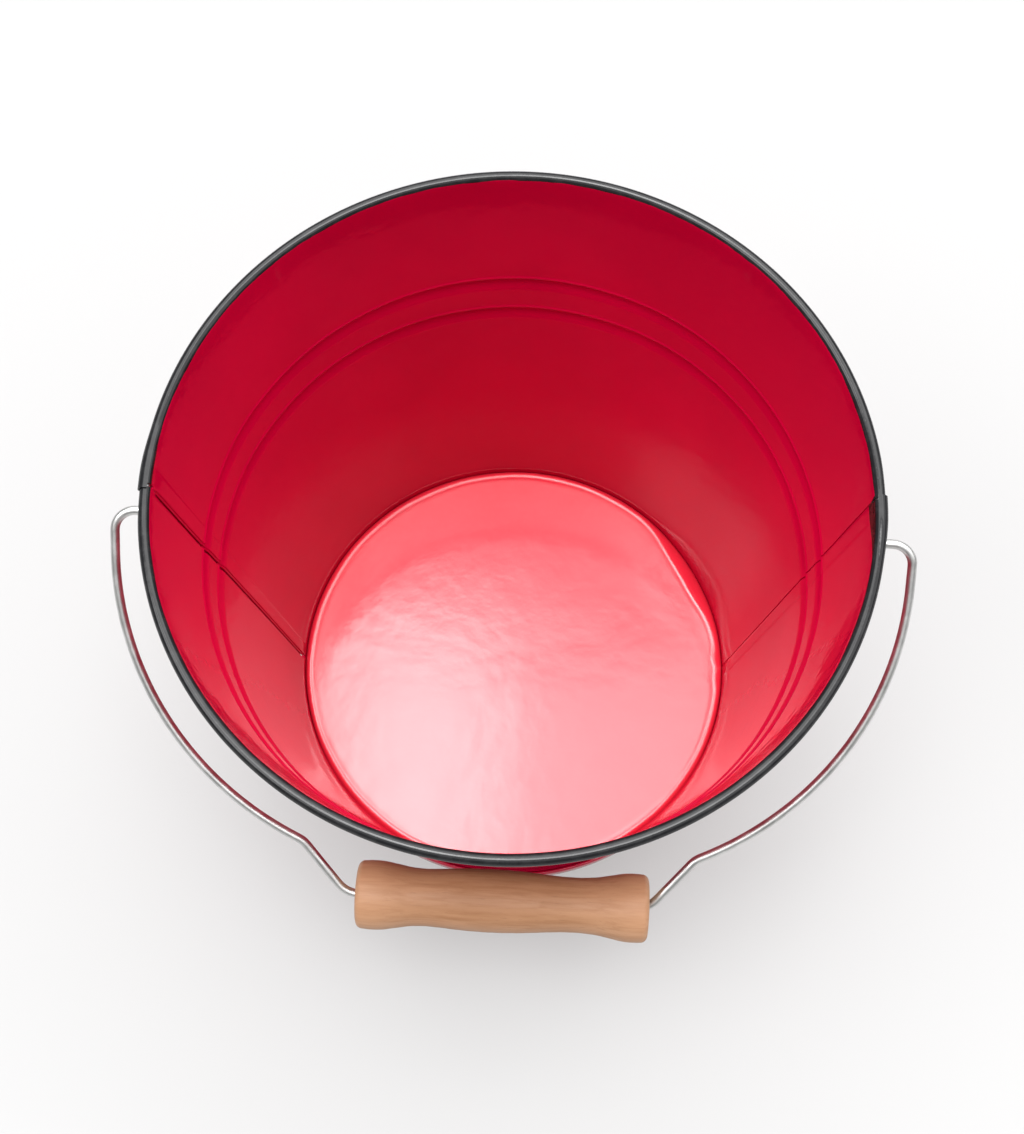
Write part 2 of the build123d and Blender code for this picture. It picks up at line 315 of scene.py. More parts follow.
def seam_stations(near, far, groove, slack):
    """Plan of a half sheet: angle, shift outwards, and the sheet's normal as (around, outwards).

    groove is the width of the step from the seam in to the wall, and slack widens the seam, in degrees.
    A station's last value says whether it belongs to the plain sheet between the hooks.
    """
    plain = np.linspace(near + (SEAM_HALF_ANGLE + slack) + 1.1, far - SEAM_HALF_ANGLE - 0.5, 158)
    between = [(angle, 0.0, 0.0, 1.0, True) for angle in plain]
    return near_hook(near, groove, slack) + between + far_hook(far)


def wall_hook():
    """Middle line of the hook at the wall's foot: radius, height, and normal as (outwards, up)."""
    middle = BASE_RADIUS + WALL + CONTACT_GAP + SHEET / 2
    radius = middle - (BASE_RADIUS + WALL / 2)
    height = HOOK_BOTTOM + SHEET / 2 + radius
    path = [(BASE_RADIUS + WALL / 2 + 2 * radius, z, -1, 0) for z in (HOOK_TOP, 4.4)]
    return path + [(middle + radius * c, height - radius * s, -c, s) for c, s in half_turn()]


class HalfSheet:
    """Rows of points on a half sheet's two faces, from the foot's hook up to the end of the rolled rim."""

    def __init__(self, turn, groove, slack):
        self.near, self.far = turn + 180, turn + 360
        stations = np.array(seam_stations(self.near, self.far, groove, slack), float)
        self.angle, self.shift, self.around, self.outwards, plain = stations.T
        self.first, self.last = np.flatnonzero(plain)[[0, -1]]
        self.faces, self.kinds = ([], []), []
        self.add_hook()
        self.add_wall()
        self.add_curl()

    def add(self, kind, rows):
        for face, row in zip(self.faces, rows):
            face.append(row)
        self.kinds.append(kind)

    def run_on(self, end):
        """Angles for rows without hooks: the plain sheet's, run on past its far side to end."""
        angle = self.angle.copy()
        angle[:self.first] = angle[self.first]
        angle[self.last + 1:] = end
        angle[self.last:self.last + LAP_CELLS + 1] = np.linspace(angle[self.last], end, LAP_CELLS + 1)
        return angle

    def add_hook(self):
        angle = self.run_on(self.angle[self.last])
        for r, z, outwards, up in wall_hook():
            halves = (-SHEET / 2, SHEET / 2)
            self.add("foot", [polar(r + half * outwards, angle, z + half * up) for half in halves])

    def add_wall(self):
        angles = {"wall": self.run_on(self.angle[self.last]), "seam": self.angle,
                  "top": self.run_on(self.far + SEAM_HALF_ANGLE + TOP_LAP)}
        for z in wall_levels():
            kind = "wall" if z < SEAM_BOTTOM else "top" if z > SEAM_TOP else "seam"
            hooked = kind == "seam"
            inside = float(wall_inside(z))
            middle = inside + WALL / 2 + self.shift * hooked + hand_waves(self.angle, z)
            rows = []
            for half in (-WALL / 2, WALL / 2):
                radius = middle + half * (self.outwards if hooked else 1)
                sideways = np.degrees(half * self.around / inside) * hooked
                rows.append(polar(radius, angles[kind] + sideways, z))
            self.add(kind, rows)

    def add_curl(self):
        """The rolled rim, which swells at its far end, to lap the other half's, and shrinks at its near."""
        angle = self.run_on(self.far + CURL_LAP)
        swell = LAP_SWELL * smooth_step(angle, self.far - 9, self.far - 1)
        swell -= LAP_SHRINK * (1 - smooth_step(angle, self.near + 2, self.near + 9))
        start = 180 - degrees(FLARE)
        for a in np.linspace(start, CURL_END, 27):
            grow = swell * float(smooth_step(start - a, 0, 45))
            rows = []
            for radius in (CURL_RADIUS + grow, CURL_RADIUS - SHEET + grow):
                out, up = cos(radians(a)) * radius, sin(radians(a)) * radius
                rows.append(polar(CURL_CENTRE + out, angle, CURL_HEIGHT + up))
            self.add("lap" if a < LAP_START else "curl", rows)

    def cells(self):
        """Which cells are sheet: the hooks too where the rows are seamed, and the lap above the seam."""
        mask = np.zeros((len(self.kinds) - 1, len(self.angle) - 1), bool)
        mask[:, self.first:self.last] = True
        for i, (kind, above) in enumerate(zip(self.kinds, self.kinds[1:])):
            if kind == above == "seam":
                mask[i, :] = True
            if above == "top" or kind in ("top", "lap") and above == "lap":
                mask[i, self.last:self.last + LAP_CELLS] = True
        return mask


def make_wall(name, turn, groove, slack):
    """One half sheet: hook at the foot, band, flared wall with beads, and its half of the rolled rim."""
    sheet = HalfSheet(turn, groove, slack)
    return sheet_mesh(name, *(np.stack(face) for face in sheet.faces), sheet.cells())


# ---------------------------------------------------------------- the base

DENT_ANGLE, DENT_WIDTH, DENT_REACH = 31.0, 14.0, 5.0
# Small nicks in the lip: angle, half width and reach
NICKS = ((DENT_ANGLE - 27.0, 2.2, 1.6), (-2.0, 2.5, 1.0))
LIP_INSET, LIP_DROP = 2.5, 2.8
# The shallow groove round the panel: distance in from the lip, and depth
LIP_GROOVE = ((3.2, 0), (2.4, 0.04), (1.7, 0.12), (1.1, 0.11), (0.55, 0.035), (0.25, 0.005))
# Waves of the lip's edge: size, turns, and start in degrees
EDGE_WAVES = ((0.22, 3, 40), (0.15, 7, 0), (0.10, 19, 10))
# The roll at the foot: its bends' radius, and the heights where the flange enters it and where it ends
ROLL_BEND = 0.75
FLANGE_END, ROLL_END = 3.2, 2.6
PANEL_WAVE_SIZE = 0.03
PANEL_WAVES = [(rng.uniform(-0.06, 0.06), rng.uniform(-0.06, 0.06), rng.uniform(0, 2 * pi),
                rng.uniform(0.3, 1.0)) for _ in range(10)]


def panel_wave(x, y):
    """The base panel's slight unevenness, in millimetres, none near its edge."""
    total = sum(size * np.sin(kx * x + ky * y + phase) for kx, ky, phase, size in PANEL_WAVES)
    return PANEL_WAVE_SIZE * total * (1 - smooth_step(np.hypot(x, y), 80, 101))


def base_edge(reach, dent, flange):
    """Radius and fall, row by row, over the groove and the lip round the panel and down to the flange.

    reach is how far the lip is pushed in, and where it is dented it falls further, with a sharper crease.
    """
    lip = flange - LIP_INSET - reach
    rows = [(lip - before, -fall) for before, fall in LIP_GROOVE]
    drop, crease = LIP_DROP + 0.4 * dent, 0.1 * dent
    for t in np.linspace(0, pi / 2, 13):
        fall = (1 - cos(t)) * (1 - crease) + crease * sin(t)
        rows.append((lip + (flange - lip) * sin(t), -drop * fall))
    return rows


def foot_roll():
    """Middle line of the roll round the wall's hook: radius, height, and normal as (outwards, up)."""
    inner = BASE_RADIUS - CONTACT_GAP - SHEET / 2
    hook = BASE_RADIUS + WALL + CONTACT_GAP
    outer = hook + 2 * (SHEET + CONTACT_GAP) + SHEET / 2
    low, top, tight = SHEET / 2, FOOT_SEAM_HEIGHT - SHEET / 2, ROLL_BEND
    fold = (outer - hook - SHEET / 2) / 2
    turns = ((inner + tight, low + tight, tight, 180, 270, 5),
             (outer - tight, low + tight, tight, 270, 360, 5),
             (outer - fold, top - fold, fold, 0, 180, 9))
    path = [(inner, FLANGE_END, 1, 0)]
    for r, z, radius, start, end, count in turns:
        for a in np.radians(np.linspace(start, end, count)):
            path.append((r + radius * cos(a), z + radius * sin(a), -cos(a), -sin(a)))
    return path + [(hook + SHEET / 2, ROLL_END, 1, 0)]


def from_angle(angle, centre):
    """How far angles are from a centre, from -180 to 180."""
    return (angle - centre + 180) % 360 - 180


def base_rows(angle):
    """Middle surface of the panel, the groove and the lip: radii and heights, row by row outwards."""
    dent = DENT_REACH * np.exp(-((np.abs(from_angle(angle, DENT_ANGLE)) / DENT_WIDTH) ** 2.6))
    uneven = sum(size * np.sin(np.radians(turns * angle + start)) for size, turns, start in EDGE_WAVES)
    nicks = sum(reach * bump_at(from_angle(angle, at), 0.0, width) for at, width, reach in NICKS)
    edge = base_edge(dent + nicks + uneven, dent, BASE_RADIUS - CONTACT_GAP - SHEET / 2)
    flat = BASE_RADIUS - 20
    radii = [share * flat + 0 * angle for share in np.linspace(0, 1, 18)]
    radii += [flat * (1 - share) + edge[0][0] * share for share in (0.35, 0.7, 0.9)]
    middle = PANEL_HEIGHT - SHEET / 2
    heights = [middle + 0 * angle] * len(radii) + [middle + fall + 0 * angle for _, fall in edge]
    return np.array(radii + [radius for radius, _ in edge]), np.array(heights)


def make_base(name):
    """The pressed base: panel with a lip, flange inside the wall, and the roll that grips the wall's hook.

    At the back on the right the lip is knocked inwards, which opens the gutter beside the wall.
    """
    angle = np.linspace(0, 360, 288, endpoint=False)
    radii, heights = base_rows(angle)
    along, down = np.gradient(radii, axis=0), np.gradient(heights, axis=0)
    size = np.hypot(along, down)
    upper, lower = [], []

    def add(radius, height, normal_r, normal_z):
        wave = panel_wave(radius * np.cos(np.radians(angle)), radius * np.sin(np.radians(angle)))
        for rows, half in ((upper, SHEET / 2), (lower, -SHEET / 2)):
            rows.append(polar(radius + normal_r * half, angle, height + normal_z * half + wave))

    for row in zip(radii, heights, -down / size, along / size):
        add(*row)
    for row in foot_roll():
        add(*row)
    return sheet_mesh(name, np.stack(upper), np.stack(lower), wrap=True)


# ---------------------------------------------------------------- the ears

DRILL_SPAN = (135.0, 160.0)
WELD_ACROSS, WELD_UP, WELD_SIZE, WELD_DEPTH = 17.0, 7.5, 2.0, 0.45


def ear_plan():
    """Half of the ear's plan, from the middle outwards: across, level, height over it, and normal.

    The level is the bridge's face or the wall that the flange lies on, and the normal is (across, out).
    """
    soft = BRIDGE_BEND
    side = BRIDGE_HALF_WIDTH - EAR_SHEET / 2
    plan = [(y, "face", 0.0, 0.0, 1.0) for y in np.linspace(0, side - soft, 7)[:-1]]
    for a in np.radians(np.linspace(0, 90, 6)):
        plan.append((side - soft + soft * sin(a), "face", -soft * (1 - cos(a)), sin(a), cos(a)))
    for a in np.radians(np.linspace(90, 0, 6)):
        plan.append((side + soft - soft * sin(a), "wall", soft * (1 - cos(a)), sin(a), cos(a)))
    return plan + [(y, "wall", 0.0, 0.0, 1.0) for y in np.linspace(side + soft, EAR_HALF_WIDTH, 8)[1:]]


def narrowed(y, width):
    """A place across the ear, drawn in on the flange where rounded corners leave less width."""
    inner = BRIDGE_HALF_WIDTH + 2
    if abs(y) <= inner:
        return y
    return np.sign(y) * (inner + (abs(y) - inner) * (width - inner) / (EAR_HALF_WIDTH - inner))


def weld_dimples(y, h):
    """Depth of the four spot welds' dimples."""
    spots = ((abs(y) - WELD_ACROSS, h - up) for up in (-WELD_UP, WELD_UP))
    return sum(WELD_DEPTH * float(np.exp(-((dy * dy + dz * dz) / WELD_SIZE**2) ** 2)) for dy, dz in spots)


def ear_rows(side, h):
    """Points across the ear's back and front, at a height over the pivot. Only the front is dimpled."""
    z = PIVOT_HEIGHT + h
    skin = BASE_RADIUS + (z - BAND_HEIGHT) * tan(FLARE) + WALL + CONTACT_GAP + EAR_SHEET / 2
    corner = max(0.0, abs(h) - (EAR_HALF_HEIGHT - EAR_ROUND))
    width = EAR_HALF_WIDTH - EAR_ROUND + sqrt(EAR_ROUND**2 - corner**2)
    half = ear_plan()
    plan = [(-y, level, over, -ny, nx) for y, level, over, ny, nx in reversed(half[1:])] + half
    back, front = [], []
    for y, level, over, ny, nx in plan:
        y = narrowed(y, width)
        x = (EAR_FACE + EAR_SHEET / 2 if level == "face" else sqrt(skin**2 - y**2)) + over
        dimple = weld_dimples(y, h)
        back.append((side * (x - nx * EAR_SHEET / 2), side * (y - ny * EAR_SHEET / 2), z))
        front.append((side * (x + nx * EAR_SHEET / 2 - dimple), side * (y + ny * EAR_SHEET / 2), z))
    return back, front


def make_ear(name, side):
    """A pressed lug: flanges on the wall with spot-weld dimples, a rounded bridge and the pivot hole."""
    bridge = 9.0
    heights = [*np.linspace(-EAR_HALF_HEIGHT, -bridge, 9)[:-1], *np.linspace(-bridge, bridge, 15),
               *np.linspace(bridge, EAR_HALF_HEIGHT, 9)[1:]]
    back, front = zip(*(ear_rows(side, h) for h in heights))
    ear = sheet_mesh(name, np.array(back), np.array(front))
    start, end = DRILL_SPAN
    hole = WIRE_RADIUS + PIVOT_PLAY
    drill = lathe(name + "_drill", [(start, 0.0), (start, hole), (end, hole), (end, 0.0)], 32,
                  lambda along, across, up: (side * along, across, PIVOT_HEIGHT + up))
    cut = ear.modifiers.new("hole", "BOOLEAN")
    cut.object, cut.operation, cut.solver = drill, "DIFFERENCE", "EXACT"
    apply_modifiers(ear)
    bpy.data.objects.remove(drill)
    edge = ear.modifiers.new("worn_edges", "BEVEL")
    edge.width, edge.segments, edge.limit_method, edge.angle_limit = 0.25 * MM, 2, "ANGLE", radians(50)
    apply_modifiers(ear)
    return ear


def apply_modifiers(obj):
    depsgraph = bpy.context.evaluated_depsgraph_get()
    mesh = bpy.data.meshes.new_from_object(obj.evaluated_get(depsgraph))
    old = obj.data
    obj.modifiers.clear()
    obj.data = mesh
    bpy.data.meshes.remove(old)


# ---------------------------------------------------------------- the bail and the grip

def from_bail_plane(u, v, out=0.0):
    """From the bail's own plane, where v runs away from the ears, to where it hangs at the front."""
    y = -v * cos(HANG) + out * sin(HANG)
    z = PIVOT_HEIGHT - v * sin(HANG) - out * cos(HANG)
    return (u, y, z)


def rounded_path(points, radii, step):
    """Points along a polyline whose corners are arcs, about step apart on the arcs."""
    out = [np.array(points[0], float)]
    for k, radius in enumerate(radii, start=1):
        before, here, after = (np.array(points[k + d], float) for d in (-1, 0, 1))
        a, b = (side / np.linalg.norm(side) for side in (before - here, after - here))
        half = acos(float(np.clip(a @ b, -1, 1))) / 2
        middle = here + (a + b) / np.linalg.norm(a + b) * radius / sin(half)
        start, end = here + a * radius / tan(half), here + b * radius / tan(half)
        turn = pi - 2 * half
        count = max(4, int(radius * turn / step))
        first = atan2(*(start - middle)[::-1])
        last = atan2(*(end - middle)[::-1])
        sweep = (last - first + pi) % (2 * pi) - pi
        for f in np.linspace(0, 1, count + 1):
            angle = first + sweep * f
            out.append(middle + radius * np.array([cos(angle), sin(angle)]))
    out.append(np.array(points[-1], float))
    return out


def spread_out(path, longest):
    """The same path with its long straight runs divided."""
    out = [path[0]]
    for p, q in zip(path, path[1:]):
        count = max(1, int(np.linalg.norm(q - p) / longest))
        out += [p + (q - p) * k / count for k in range(1, count + 1)]
    return out


def bail_path():
    """Points along the whole wire in its own plane, from head to head."""
    half = [(HEAD_SPAN[0], 0)] + [(u, v) for u, v, _ in BAIL_CORNERS]
    bends = [bend for _, _, bend in BAIL_CORNERS]
    corners = [(-u, v) for u, v in half] + half[::-1]
    return np.array(spread_out(rounded_path(corners, bends + bends[::-1], 1.4), 5.0))


def make_bail(name):
    """The bent wire, with a round head upset on each end."""
    path, segments = bail_path(), 24
    lengths = np.concatenate([[0], np.cumsum([np.linalg.norm(q - p) for p, q in zip(path, path[1:])])])
    total, thick = lengths[-1], HEAD_SPAN[1] - HEAD_SPAN[0]
    head = [(0.0, 0.0), (0.02, 1.8), (0.12, 2.7), (0.45, 3.3), (thick / 2, HEAD_RADIUS),
            (thick - 0.35, 3.3), (thick - 0.1, 2.8), (thick, WIRE_RADIUS + 0.25), (thick + 0.3, WIRE_RADIUS)]
    keep = [s for s in lengths if thick + 1 < s < total - thick - 1]
    along = [s for s, _ in head] + keep + [total - s for s, _ in reversed(head)]
    radii = [r for _, r in head] + [WIRE_RADIUS] * len(keep) + [r for _, r in reversed(head)]
    us, vs = (np.interp(along, lengths, path[:, k]) for k in (0, 1))
    du, dv = np.gradient(us, along), np.gradient(vs, along)
    size = np.hypot(du, dv)
    points = []
    for u, v, tu, tv, radius in zip(us, vs, du / size, dv / size, radii):
        for a in (2 * pi * k / segments for k in range(segments)):
            across = radius * cos(a)
            points.append(from_bail_plane(u - tv * across, v + tu * across, radius * sin(a)))
    faces = []
    for ring in range(len(radii) - 1):
        a, b = ring * segments, (ring + 1) * segments
        faces += [[a + k, a + (k + 1) % segments, b + (k + 1) % segments, b + k] for k in range(segments)]
    return finish_mesh(name, points, faces, 60.0)


def natural_curve(xs, ys, at):
    """A smooth curve through a few points: a natural cubic spline."""
    xs, ys, n = np.array(xs, float), np.array(ys, float), len(xs)
    h = np.diff(xs)
    system, right = np.eye(n), np.zeros(n)
    for i in range(1, n - 1):
        system[i, i - 1:i + 2] = h[i - 1], 2 * (h[i - 1] + h[i]), h[i]
        right[i] = 6 * ((ys[i + 1] - ys[i]) / h[i] - (ys[i] - ys[i - 1]) / h[i - 1])
    bend = np.linalg.solve(system, right)
    i = np.clip(np.searchsorted(xs, at) - 1, 0, n - 2)
    a, b = (xs[i + 1] - at) / h[i], (at - xs[i]) / h[i]
    return a * ys[i] + b * ys[i + 1] + ((a**3 - a) * bend[i] + (b**3 - b) * bend[i + 1]) * h[i] ** 2 / 6


def make_grip(name):
    """Turned wood with a bore. Its outside has the faint ridges that a lathe leaves."""
    xs, ys = zip(*GRIP_SHAPE)
    along = np.linspace(xs[0], xs[-1], 120)
    ridges = 0.02 * np.sin(along * 2.1) + 0.025 * np.sin(along * 0.83 + 1.0) - 0.045
    outer = list(zip(along, natural_curve(xs, ys, along) + ridges))

    def end_round(sign, radius):
        start, tip = GRIP_HALF_LENGTH - GRIP_END_ROUND, radius - GRIP_END_ROUND
        return [(sign * (start + GRIP_END_ROUND * sin(f)), tip + GRIP_END_ROUND * cos(f))
                for f in np.linspace(0.2, pi / 2, 8)]

    end, (mouth, depth) = GRIP_HALF_LENGTH, GRIP_MOUTH
    right = [(end, 10.0), (end, 7.5), (end, mouth + 0.4), (end - 0.25, mouth - 0.1),
             (end - depth, GRIP_BORE)]
    left = [(-a, r) for a, r in reversed(right)]
    profile = end_round(-1, ys[0])[::-1] + outer + end_round(1, ys[-1]) + right + left
    return lathe(name, profile, 112, lambda along, across, up:
                 from_bail_plane(along + GRIP_SLIDE, GRIP_REACH + across, up))


# ---------------------------------------------------------------- materials

class Nodes:
    """The nodes of a new material or of the world, with short ways to add and join them."""

    def __init__(self, owner):
        self.material = owner if isinstance(owner, bpy.types.World) else bpy.data.materials.new(owner)
        self.material.use_nodes = True
        self.tree = self.material.node_tree
        self.shader = self.tree.nodes.get("Principled BSDF")

    def add(self, kind, **values):
        node = self.tree.nodes.new(kind)
        for key, value in values.items():
            setattr(node, key, value)
        return node

    def join(self, source, target):
        self.tree.links.new(source, target)

    def set(self, **values):
        for key, value in values.items():
            self.shader.inputs[key.replace("_", " ")].default_value = value

    def place(self, scale=(1, 1, 1), shift=(0, 0, 0)):
        """Positions on the piece, in metres, moved and then scaled."""
        where = self.add("ShaderNodeTexCoord").outputs["Object"]
        moved = self.add("ShaderNodeVectorMath", operation="ADD")
        moved.inputs[1].default_value = shift
        sized = self.add("ShaderNodeVectorMath", operation="MULTIPLY")
        sized.inputs[1].default_value = scale
        self.join(where, moved.inputs[0])
        self.join(moved.outputs[0], sized.inputs[0])
        return sized.outputs[0]

    def noise(self, where, scale, detail=2.0, roughness=0.5, distortion=0.0):
        node = self.add("ShaderNodeTexNoise")
        self.join(where, node.inputs["Vector"])
        values = {"Scale": scale, "Detail": detail, "Roughness": roughness, "Distortion": distortion}
        for key, value in values.items():
            node.inputs[key].default_value = value
        return node.outputs["Fac"]

    def math(self, operation, a, b=0.0):
        node = self.add("ShaderNodeMath", operation=operation)
        for socket, value in zip(node.inputs, (a, b)):
            if isinstance(value, (int, float)):
                socket.default_value = value
            else:
                self.join(value, socket)
        return node.outputs[0]

    def ramp(self, value, low, high, start=0.0, end=1.0):
        """value from low to high turned softly into start to end."""
        node = self.add("ShaderNodeMapRange", interpolation_type="SMOOTHSTEP")
        self.join(value, node.inputs["Value"])
        for key, number in (("From Min", low), ("From Max", high), ("To Min", start), ("To Max", end)):
            node.inputs[key].default_value = number
        return node.outputs["Result"]

    def axes(self, where):
        node = self.add("ShaderNodeSeparateXYZ")
        self.join(where, node.inputs[0])
        return [node.outputs[axis] for axis in "XYZ"]

    def mix(self, factor, a, b):
        node = self.add("ShaderNodeMix", data_type="RGBA")
        self.join(factor, node.inputs["Factor"])
        for key, value in ((6, a), (7, b)):
            if isinstance(value, tuple):
                node.inputs[key].default_value = (*value, 1.0)
            else:
                self.join(value, node.inputs[key])
        return node.outputs[2]

    def bump(self, heights):
        """Joins several (height, size in metres) into one bump."""
        normal = None
        for height, size in heights:
            node = self.add("ShaderNodeBump")
            node.inputs["Strength"].default_value = 1.0
            node.inputs["Distance"].default_value = size
            self.join(height, node.inputs["Height"])
            if normal is not None:
                self.join(normal, node.inputs["Normal"])
            normal = node.outputs[0]
        self.join(normal, self.shader.inputs["Normal"])
        return normal


WALL_REDS = (0.40, 0.0008, 0.027), (0.44, 0.0010, 0.030)
# The base panel's paler, pinker red is painted light. It is the same red enamel as the walls, lightened to
# stand in for the bright overhead light that the floor catches.
PANEL_PAINTED_LIGHT_REDS = (0.60, 0.015, 0.036), (0.66, 0.018, 0.040)
BLACKS = (0.007, 0.007, 0.008), (0.014, 0.014, 0.015)
RED_GLOSS, BLACK_GLOSS = 0.85, 0.65

# The rim's black inside: where its edge lies, how much it wavers, and how far it runs down on the right, and
# the angles between which the run begins and ends
BLACK_EDGE = CURL_HEIGHT * MM
BLACK_WAVER = 1.6 * MM
BLACK_RUN = 6.2 * MM
BLACK_SOFTNESS = 0.25 * MM
RUN_START, RUN_END = (-9.0, -0.5), (2.2, 1.4)


def rim_black(n, where, radius):
    """Share of the black on the rolled rim: outside, over the curl, and to a wavering edge inside."""
    x, y, z = n.axes(where)
    angle = n.math("ARCTAN2", y, x)
    starts, ends = ([radians(a) for a in limits] for limits in (RUN_START, RUN_END))
    run = n.math("MULTIPLY", n.ramp(angle, *starts), n.ramp(angle, *ends))
    edge = n.math("ADD", n.math("MULTIPLY", n.noise(where, 55, 3), BLACK_WAVER), BLACK_EDGE)
    edge = n.math("SUBTRACT", edge, n.math("MULTIPLY", run, BLACK_RUN))
    inside = n.ramp(n.math("SUBTRACT", z, edge), 0.0, BLACK_SOFTNESS)
    outside = n.math("MULTIPLY", n.ramp(radius, (CURL_CENTRE - 1.6) * MM, (CURL_CENTRE - 1.3) * MM),
                     n.ramp(z, (CURL_HEIGHT - 8) * MM, (CURL_HEIGHT - 7.5) * MM))
    return n.math("MAXIMUM", inside, outside)


def enamel(name, rim=False, panel=False, haze=0.0, blur=0.035, mottle=0.00006):
    """Gloss stoved paint with a fine orange peel: red, paler as painted light on the base panel, black on
    the rolled rim.

    haze is the gloss below the clear coat, blur the coat's roughness, and mottle its broad waves' depth.
    """
    n = Nodes(name)
    where = n.place()
    patches = n.ramp(n.noise(where, 14, 3), 0.35, 0.65)
    colour = red = n.mix(patches, *WALL_REDS)
    x, y, _ = n.axes(where)
    radius = n.math("SQRT", n.math("ADD", n.math("POWER", x, 2.0), n.math("POWER", y, 2.0)))
    if panel:
        # Painted light: the base panel takes the paler red, which stands in for the overhead light on the
        # floor.
        beyond = n.ramp(radius, BASE_RADIUS * MM, (BASE_RADIUS + 0.3) * MM)
        colour = n.mix(beyond, n.mix(patches, *PANEL_PAINTED_LIGHT_REDS), red)
    if rim:
        painted = rim_black(n, where, radius)
        colour = n.mix(painted, red, n.mix(n.ramp(n.noise(where, 180, 4, 0.6), 0.4, 0.7), *BLACKS))
        n.join(n.mix(painted, (RED_GLOSS,) * 3, (BLACK_GLOSS,) * 3), n.shader.inputs["Coat Weight"])
    else:
        n.set(Coat_Weight=RED_GLOSS)
    n.join(colour, n.shader.inputs["Base Color"])
    n.join(n.ramp(n.noise(where, 60, 4), 0.3, 0.7, 0.36, 0.46), n.shader.inputs["Roughness"])
    n.set(Coat_Roughness=blur, Coat_IOR=1.5, IOR=1.45, Specular_IOR_Level=haze)
    peel = n.bump([(n.noise(where, 120, 3), 0.00007), (n.noise(where, 420, 2), 0.000012),
                   (n.noise(where, 26, 2), mottle)])
    n.join(peel, n.shader.inputs["Coat Normal"])
    return n.material


def bright_wire(name):
    """Drawn and plated steel wire, slightly uneven in tone and gloss."""
    n = Nodes(name)
    where = n.place()
    tone = n.noise(where, 90, 4, 0.6)
    colour = n.mix(n.ramp(tone, 0.3, 0.7), (0.50, 0.50, 0.49), (0.66, 0.66, 0.65))
    n.join(colour, n.shader.inputs["Base Color"])
    n.join(n.ramp(n.noise(where, 160, 4, 0.6), 0.3, 0.7, 0.30, 0.42), n.shader.inputs["Roughness"])
    n.set(Metallic=1.0)
    n.bump([(n.noise(where, 110, 2), 0.000008)])
    return n.material


WOOD_BASES = (0.33, 0.165, 0.082), (0.39, 0.205, 0.108)
WOOD_GRAIN = (0.29, 0.135, 0.062)
WOOD_PORES = (0.19, 0.09, 0.045)
WOOD_LIGHTER_ENDS = (0.50, 0.285, 0.165)


def grip_wood(name):
    """Pale close-grained hardwood, lighter towards the ends. The grain runs along the grip."""
    n = Nodes(name)
    middle = tuple(-GRIP_CENTRE)
    grain = n.noise(n.place((0.06, 1, 1), middle), 420, 6, 0.62, 0.4)
    figure = n.noise(n.place((0.25, 1, 1), middle), 75, 3, 0.55, 0.8)
    fleck = n.noise(n.place((0.10, 1, 1), middle), 1500, 3, 0.5)
    wood = n.mix(n.ramp(figure, 0.25, 0.75), *WOOD_BASES)
    wood = n.mix(n.ramp(grain, 0.40, 0.70), wood, WOOD_GRAIN)
    wood = n.mix(n.ramp(fleck, 0.60, 0.75, 0.0, 0.40), wood, WOOD_PORES)
    along, _, _ = n.axes(n.place(shift=middle))
    ends = n.ramp(n.math("ABSOLUTE", along), 0.015, 0.062)
    # The wood turns lighter towards the grip's ends.
    wood = n.mix(n.math("MULTIPLY", ends, 0.32), wood, WOOD_LIGHTER_ENDS)
    n.join(wood, n.shader.inputs["Base Color"])
    n.join(n.ramp(grain, 0.3, 0.7, 0.42, 0.58), n.shader.inputs["Roughness"])
    n.set(Specular_IOR_Level=0.35)
    n.bump([(grain, 0.00012), (fleck, 0.00006)])
    return n.material


def plain(name, low, high, roughness, metallic, scale):
    """A simple uneven surface for the two pieces that the sheet steel hides."""
    n = Nodes(name)
    where = n.place()
    n.join(n.mix(n.ramp(n.noise(where, scale, 4), 0.3, 0.7), low, high), n.shader.inputs["Base Color"])
    n.join(n.ramp(n.noise(where, scale * 3, 3), 0.3, 0.7, roughness - 0.08, roughness + 0.08),
           n.shader.inputs["Roughness"])
    n.set(Metallic=metallic)
    n.bump([(n.noise(where, scale * 5, 2), 0.00003)])
    return n.material


# ---------------------------------------------------------------- the object

def paint(obj, material):
    obj.data.materials.clear()
    obj.data.materials.append(material)


def put(obj, material, body, slot, *nodes):
    paint(obj, material)
    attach(obj, body)
    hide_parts(*nodes)


red_black = enamel("enamel_red_and_black", rim=True)
red = enamel("enamel_red")
# The base panel's material carries the painted light of its paler red.
painted_light_base_red = enamel("enamel_red_base_painted_light", panel=True, haze=0.12, blur=0.13, mottle=0.00022)
put(make_wall("wall_front_sheet", 0, 0.8, 0.15), red_black, "pail", "enamel_red", "wall_front")
put(make_wall("wall_back_sheet", 180, 0.06, 0.06), red_black, "pail", "enamel_red", "wall_back")
put(make_base("base_pressing"), painted_light_base_red, "pail", "enamel_red", "base_pan")
put(make_ear("ear_left_pressing", -1), red, "pail", "enamel_red", "ear_left")
put(make_ear("ear_right_pressing", 1), red, "pail", "enamel_red", "ear_right")
put(make_bail("bail_wire"), bright_wire("bright_wire"), "bail", "bright_wire", "bail")
put(make_grip("grip_turned"), grip_wood("grip_wood"), "grip", "grip_wood", "grip")

paint(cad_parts["rim_wire"], plain("hoop_wire", (0.35, 0.35, 0.36), (0.5, 0.5, 0.5), 0.4, 1.0, 80))
paint(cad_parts["base_seal"],
      plain("sealing_compound", (0.08, 0.08, 0.08), (0.14, 0.14, 0.14), 0.8, 0.0, 60))


# ---------------------------------------------------------------- the studio

